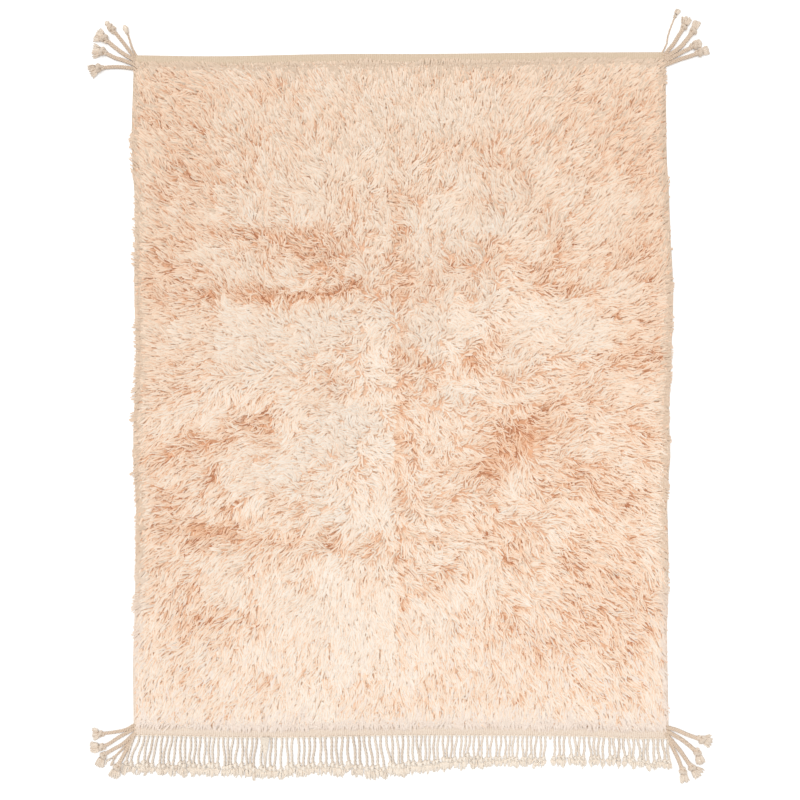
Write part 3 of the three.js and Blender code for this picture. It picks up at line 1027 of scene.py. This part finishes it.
def wrapped_knot(middle, heading, size, high, thick, tone):
    """An overhand knot: the cord wound once and a half round itself, pressed flat on the floor."""
    turn = np.linspace(0, 1, 20)
    angle = 2 * np.pi * 1.6 * turn + 0.6
    ahead, aside = pointing(heading)
    round_it = (size * 0.92 - thick) * np.sin(angle)
    onward = size * 0.78 * (turn - 0.5) * 2 + 0.22 * size * np.sin(2 * angle)
    flat = middle + onward[:, None] * ahead + round_it[:, None] * aside
    lift = high / 2 + (high / 2 - thick * 0.6) * np.cos(angle)
    swell = thick * (0.8 + 0.35 * np.sin(np.pi * turn))
    path = at_height(flat, lift.clip(thick * 0.7))
    return yarn(path, swell, 6, tone, (-0.1, 0.05), lobe=0.12, turns=2)


def cut_brush(middle, tip, width, high, strands, thick, tone, chance, clumps=0, full=0.0):
    """A cut brush below a knot: strands that splay from the knot to an uneven end, in one fan or
    in a few clumps. A full one is wide from the knot on, with a rounder end and some longer strands."""
    middle = np.array(middle)
    way = np.array(tip) - middle
    length = np.hypot(*way)
    ahead = way / length
    aside = np.array([-ahead[1], ahead[0]])
    made = []
    for strand in range(strands):
        place = (strand + 0.5) / strands * 2 - 1
        if clumps:
            place = (round((place + 1) / 2 * (clumps - 1)) / (clumps - 1) * 2 - 1) * 0.8 + place * 0.2
        place = place + chance.normal(0, 0.12)
        reach = length * (1.04 - (0.1 + 0.35 * full) * place**2 - 0.3 * chance.random() ** 1.4)
        if chance.random() < 0.15 * full:
            reach += 0.01 * chance.random()
        bow = chance.normal(0, 0.1) * width
        share = np.array([0.1 - 0.25 * full * chance.random(), 0.4, 0.72, 0.93, 1.0])
        splay = 0.4 + 0.6 * share.clip(0) ** 0.9 + full * 0.35 * np.sin(np.pi * share)
        across = width * place * splay + bow * np.sin(np.pi * share)
        flat = middle + (reach * share)[:, None] * ahead + across[:, None] * aside
        lift = high * (1 - 0.5 * share) * (0.6 + 0.4 * chance.random())
        path = at_height(flat, lift.clip(thick * 0.9))
        radii = thick * np.array([1, 1.15, 1.1, 0.9, 0.4])
        own = np.clip(tone + 0.18 * chance.normal(0, 1), 0, 1)
        made.append(yarn(path, radii, 4, own, (0.06, 0.2 * chance.random() - 0.2)))
    return made


def round_end(start, tip, radius, tone, sides=12, shade=0.2):
    """A short rounded lump of felted wool, from where it starts to its tip."""
    share = np.linspace(0, 1, sides)
    path = at_height(np.linspace(start, tip, sides), np.full(sides, radius * 0.85))
    round_out = np.sqrt(1 - (2 * share - 1) ** 2 * 0.999) * (1 + 0.08 * np.sin(14 * share))
    return yarn(path, radius * round_out, sides, tone, (shade, shade), lobe=0.12, turns=0.8)


def cord_roots():
    """Where the cords leave the lower end: close to the pitches above, drawn to the whole width."""
    low_x = left_edge(rug_low.y) + CORD_RADIUS
    high_x = right_edge(rug_low.y) - CORD_RADIUS
    places = [low_x]
    while len(places) < FRINGE_CORDS:
        places.append(places[-1] + read_table(CORD_PITCHES, "x", "pitch", places[-1]))
    places = np.array(places)
    return low_x + (places - low_x) * (high_x - low_x) / (places[-1] - low_x)


chance = np.random.default_rng(51)
yarns = []
roots = cord_roots()
group = np.repeat(np.arange(FRINGE_CORDS), chance.integers(1, 5, FRINGE_CORDS))[:FRINGE_CORDS]
group_middle = np.bincount(group, roots) / np.bincount(group)
drawn = 0.17 * (group_middle[group] - roots) + chance.normal(0, 0.0018, FRINGE_CORDS)
for number, x in enumerate(roots):
    end_y = lower_end(x)
    tip_y = read_table(FRINGE_TIPS, "x", "y", x) - 0.004 + chance.normal(0, 0.0048)
    shift = read_table(FRINGE_LEAN, "x", "shift", x)
    size = read_table(FRINGE_TUFTS, "x", "size", x) * (0.92 + 0.16 * chance.random())
    tone = np.clip(0.55 + chance.normal(0, 0.14), 0, 1)
    worn = 0.25 * rising(x, -0.3, -0.5)
    if abs(x - CUT_STUB_X) < NEAREST_CORD:
        for ply in (x - 0.003, x, x + 0.003):
            path = np.linspace((ply, end_y + 0.006, 0.006), (ply, end_y - STUB_LENGTH, 0.004), 6)
            yarns.append(yarn(path, np.full(6, 0.003), 5, tone, (0.0, 0.3)))
        continue
    if abs(x - LOOSE_BUNDLE_X) < NEAREST_CORD:
        for strand in range(LOOSE_STRANDS):
            share = np.linspace(0, 1, 14)
            out = (strand / (LOOSE_STRANDS - 1) - 0.5) * 0.036 * (1 - 0.65 * share**0.7)
            curl = 0.0026 * np.sin(2 * np.pi * (share * 1.6 + chance.random())) * share
            line = np.stack([
                x + out + curl - 0.006 * share,
                end_y + 0.006 - (0.06 + 0.055 * chance.random()) * share,
                0.01 + 0.002 * (strand % 2) - 0.004 * share,
            ], -1)
            yarns.append(yarn(line, np.full(14, 0.0018), 4, 1.0, (-0.2, -0.2)))
    knot_y = tip_y + 0.038 * size
    share = np.linspace(0, 1, 40)
    drop = (end_y - knot_y) / (end_y - tip_y)
    sway = 0.0036 * np.sin(2 * np.pi * (share * 0.8 + chance.random())) * np.sin(np.pi * share)
    bend = share**2 * (3 - 2 * share)
    line = np.stack([
        x + (shift * drop + drawn[number]) * bend + sway,
        end_y + 0.008 + (knot_y - end_y - 0.008) * share,
        CORD_RADIUS + 0.0005 + 0.001 * np.sin(np.pi * share),
    ], -1)
    turns = (end_y - knot_y) / CORD_LAY
    radii = CORD_RADIUS * np.interp(share, [0, 0.06, 1], [1.15, 1.0, 0.96])
    radii = radii * read_table(FRINGE_TUFTS, "x", "cord", x)
    yarns.append(yarn(line, radii, 6, tone, (0.1, 0.1), lobe=0.2, turns=turns))
    knot = line[-1, :2]
    east, north = (line[-1] - line[-4])[:2]
    heading = np.arctan2(north, east)
    yarns.append(wrapped_knot(knot, heading, 0.0112 * size, 0.011, 0.005 * size, tone + 0.2 - worn))
    way = pointing(heading)[0] * 0.01 * size
    yarns.append(round_end(knot - way, knot + way, 0.0064 * size, 0.9, sides=7, shade=0.0))
    yarns += cut_brush(
        knot,
        (knot[0] + shift * (1 - drop) + chance.normal(0, 0.004), tip_y + chance.normal(0, 0.004)),
        read_table(FRINGE_TUFTS, "x", "brush", x) * (0.55 + 0.65 * chance.random()),
        0.01,
        13,
        0.0022 * size,
        tone + 0.35 - worn,
        chance,
        full=1.0,
    )

# The twined row that holds the warps along the end
HEADER_STEPS = 470
HEADER_TWIST = 0.0125
header_x = np.linspace(left_edge(rug_low.y) + 0.001, right_edge(rug_low.y) - 0.001, HEADER_STEPS)
for phase in (0, 0.5):
    turn = 2 * np.pi * (header_x / HEADER_TWIST + phase)
    line = np.stack(
        [header_x, lower_end(header_x) - 0.0018 + 0.001 * np.sin(turn), 0.005 + 0.001 * np.cos(turn)],
        -1,
    )
    yarns.append(yarn(line, np.full(HEADER_STEPS, 0.0026), 5, 1.0, (-0.15, -0.15)))

fringe = join_yarns("knotted_fringe", yarns)
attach(fringe, "root")
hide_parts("fringe")

# ---------- Corner tassels
# At each corner the last warps are plaited into short ropes. Each ends in a big overhand knot and a
# splayed cut brush, but for two at the upper left that end in rounded felted lumps. Cord, knot and
# brush are half widths, and route ends in the middle of the knot.
TASSELS = table(
    "name cord knot brush route tip",
    ("top_left_1", 0.0045, 0.008, 0.009,
     [(-1.158, 1.49), (-1.18, 1.53), (-1.192, 1.568), (-1.203, 1.6)], (-1.213, 1.629)),
    ("top_left_2", 0.0075, 0.015, 0.013,
     [(-1.164, 1.48), (-1.196, 1.522), (-1.23, 1.566), (-1.266, 1.61)], (-1.295, 1.643)),
    ("top_left_3", 0.0085, 0.017, 0.025,
     [(-1.164, 1.47), (-1.22, 1.504), (-1.256, 1.531), (-1.301, 1.569)], (-1.341, 1.591)),
    ("top_left_4", 0.0085, 0.017, 0.025,
     [(-1.164, 1.453), (-1.22, 1.474), (-1.256, 1.485), (-1.309, 1.512)], (-1.357, 1.515)),
    ("top_left_5", 0.008, 0.017, 0.023,
     [(-1.164, 1.436), (-1.22, 1.443), (-1.262, 1.444), (-1.326, 1.439)], (-1.369, 1.419)),
    ("top_right_1", 0.0035, 0.007, 0.008,
     [(1.15, 1.498), (1.174, 1.546), (1.179, 1.576), (1.192, 1.618), (1.212, 1.668)], (1.229, 1.7)),
    ("top_right_2", 0.008, 0.0135, 0.016,
     [(1.16, 1.492), (1.203, 1.544), (1.223, 1.576), (1.25, 1.618)], (1.266, 1.668)),
    ("top_right_3", 0.009, 0.0155, 0.014,
     [(1.16, 1.478), (1.23, 1.528), (1.259, 1.56), (1.291, 1.6)], (1.313, 1.648)),
    ("top_right_4", 0.0085, 0.0165, 0.013,
     [(1.16, 1.464), (1.23, 1.503), (1.266, 1.521), (1.298, 1.538)], (1.328, 1.556)),
    ("top_right_5", 0.0085, 0.0165, 0.015,
     [(1.16, 1.45), (1.23, 1.477), (1.266, 1.488), (1.32, 1.506)], (1.361, 1.524)),
    ("bottom_left_1", 0.007, 0.013, 0.022,
     [(-1.164, -1.448), (-1.205, -1.472), (-1.256, -1.484), (-1.318, -1.491)], (-1.357, -1.495)),
    ("bottom_left_2", 0.0075, 0.014, 0.019,
     [(-1.164, -1.466), (-1.238, -1.507), (-1.284, -1.537), (-1.313, -1.548)], (-1.367, -1.555)),
    ("bottom_left_3", 0.0075, 0.014, 0.015,
     [(-1.164, -1.484), (-1.22, -1.535), (-1.265, -1.561), (-1.307, -1.586)], (-1.327, -1.64)),
    ("bottom_left_4", 0.008, 0.016, 0.019,
     [(-1.166, -1.49), (-1.204, -1.56), (-1.223, -1.597), (-1.247, -1.637)], (-1.262, -1.69)),
    ("bottom_left_5", 0.005, 0.008, 0.011,
     [(-1.18, -1.506), (-1.214, -1.55), (-1.24, -1.577), (-1.26, -1.597)], (-1.287, -1.626)),
    ("bottom_right_1", 0.0085, 0.017, 0.021,
     [(1.17, -1.462), (1.216, -1.474), (1.27, -1.497), (1.328, -1.517)], (1.376, -1.529)),
    ("bottom_right_2", 0.0085, 0.015, 0.014,
     [(1.168, -1.476), (1.234, -1.513), (1.27, -1.54), (1.308, -1.574)], (1.332, -1.628)),
    ("bottom_right_3", 0.0085, 0.015, 0.021,
     [(1.166, -1.486), (1.227, -1.558), (1.26, -1.605), (1.284, -1.64)], (1.326, -1.677)),
    ("bottom_right_4", 0.008, 0.015, 0.016,
     [(1.174, -1.494), (1.205, -1.562), (1.227, -1.608), (1.244, -1.657)], (1.255, -1.71)),
)
TASSEL_CLUMPS = {"bottom_right_1": 5, "bottom_right_3": 5, "bottom_left_5": 2}
ROPE_STEPS = 72
PLAIT_PITCH = 0.032
PLAIT_CORD = 0.008
BRUSH_HIGH = 0.011
THIN_BRUSH = 0.012


def smooth_line(points):
    """A smooth line through points on the floor, in even steps. Returns it and its length."""
    points = np.array(points)
    before = 2 * points[0] - points[1]
    after = 2 * points[-1] - points[-2]
    held = np.concatenate([[before], points, [after]])
    line = []
    for a, b, c, d in zip(held, held[1:], held[2:], held[3:]):
        t = np.linspace(0, 1, 24, endpoint=False)[:, None]
        squared = (2 * a - 5 * b + 4 * c - d) * t**2
        cubed = (3 * b - a - 3 * c + d) * t**3
        line.append(0.5 * (2 * b + (c - a) * t + squared + cubed))
    line = np.concatenate([*line, points[-1:]])
    run = np.concatenate([[0], np.hypot(*np.diff(line, axis=0).T).cumsum()])
    even = np.linspace(0, run[-1], ROPE_STEPS)
    return np.stack([np.interp(even, run, line[:, axis]) for axis in (0, 1)], -1), run[-1]


tassels = []
for row in TASSELS:
    name, cord, knot, brush, route, tip = row.values()
    chance = np.random.default_rng(len(tassels) + 61)
    middle_line, length = smooth_line(route)
    share = np.linspace(0, 1, ROPE_STEPS)
    ahead = np.gradient(middle_line, axis=0)
    aside = pointing(np.arctan2(ahead[:, 1], ahead[:, 0]))[1]
    tone = 0.1 * chance.random() + (0.0 if "top" in name else 0.08)
    yarns = []
    # Three plies, painted with deeper shade down their sides than the fringe's cords
    for ply in range(3):
        turn = 2 * np.pi * (share * length / PLAIT_PITCH * cord / PLAIT_CORD + ply / 3)
        out = cord * 0.67 * np.sin(turn)
        high = cord * 0.78 + cord * 0.3 * np.sin(2 * turn)
        path = at_height(middle_line + out[:, None] * aside, high)
        own = np.clip(tone + chance.normal(0, 0.06), 0, 1)
        thick = np.full(ROPE_STEPS, cord * 0.5)
        yarns.append(yarn(path, thick, 6, own, (0.3, 0.15), lobe=0.08, turns=4, down=0.55))
    middle = middle_line[-1]
    onward = np.array(tip) - middle
    heading = np.arctan2(onward[1], onward[0])
    for turn, swell in ((0, 1.3), (0.5, 1.16)):
        wound = wrapped_knot(middle, heading + turn, knot * swell, knot * 1.25, knot * 0.42, tone)
        yarns.append(wound)
    way = pointing(heading)[0] * knot
    yarns.append(round_end(middle - way, middle + way, knot * 0.72, tone))
    if name == "top_left_1":
        yarns.append(round_end(middle - onward * 0.4, tip, 0.0115, 0.7))
    elif name == "top_left_2":
        yarns.append(round_end(middle, middle + onward * 0.6, 0.014, tone))
        yarns.append(round_end(middle + onward * 0.48, tip, 0.0112, 0.7))
    else:
        yarns += cut_brush(
            middle + onward * 0.05,
            tip,
            brush * 1.32,
            BRUSH_HIGH,
            38 if brush > THIN_BRUSH else 14,
            0.0024,
            tone + 0.16,
            chance,
            clumps=TASSEL_CLUMPS.get(name, 0),
        )
    piece = join_yarns("plaited_" + name, yarns)
    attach(piece, "root")
    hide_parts("tassel_" + name)
    tassels.append(piece)

# ---------- Floor and light
# A plain white studio floor, a soft even sky and one broad soft light overhead, a little to the
# upper left.
FLOOR_SIDE = 400.0
FLOOR_DROP = 0.0005
FLOOR_GLOW = 0.26
SKY = 0.65
SUN = 1.37


def seen_directly(tree):
    """1 where the eye meets the studio itself, straight or by way of a gloss or a clear surface."""
    path = add_node(tree, "ShaderNodeLightPath").outputs
    straight = math_node("MAXIMUM", path["Is Camera Ray"], path["Is Glossy Ray"])
    return math_node("MAXIMUM", straight, path["Is Transmission Ray"])


floor_material, tree, shader = new_material("studio_floor", 1.0, 0.0)
shader.inputs["Base Color"].default_value = (0.9, 0.9, 0.9, 1)
shader.inputs["Specular IOR Level"].default_value = 0.0
shader.inputs["Emission Color"].default_value = (1, 1, 1, 1)
glow = times(seen_directly(tree), FLOOR_GLOW)
feed(shader.inputs["Emission Strength"], glow)
floor_mesh = bpy.data.meshes.new("floor")
corners = [(-1, -1), (1, -1), (1, 1), (-1, 1)]
floor_mesh.from_pydata(
    [(x * FLOOR_SIDE / 2, y * FLOOR_SIDE / 2, -FLOOR_DROP) for x, y in corners], [], [(0, 1, 2, 3)]
)
floor_mesh.materials.append(floor_material)
floor = put_in_scene("floor", floor_mesh)

world = bpy.data.worlds.new("studio")
world.use_nodes = True
tree = world.node_tree
sky = tree.nodes["Background"].inputs
sky["Color"].default_value = (1, 1, 1, 1)
feed(sky["Strength"], math_node("MAXIMUM", seen_directly(tree), SKY))
bpy.context.scene.world = world

sun_data = bpy.data.lights.new("soft_light", "SUN")
sun_data.energy = SUN
sun_data.angle = np.radians(55)
sun = put_in_scene("soft_light", sun_data)
sun.rotation_euler = (np.radians(-16), np.radians(-12), 0)

# ---------- Camera
# It looks straight down at the rug from above its middle, from far enough off to take in the
# whole rug and a margin of floor.
VIEW_WIDTH = 3.52
VIEW_Y = -0.022
LENS = 0.05
SENSOR = 0.036
camera_data = bpy.data.cameras.new("camera")
camera_data.lens = LENS * 1000
camera_data.sensor_width = SENSOR * 1000
camera = put_in_scene("camera", camera_data)
camera.location = (0, VIEW_Y, WEAVE_THICK + VIEW_WIDTH * LENS / SENSOR)
bpy.context.scene.camera = camera
bpy.context.scene.view_settings.view_transform = "Standard"
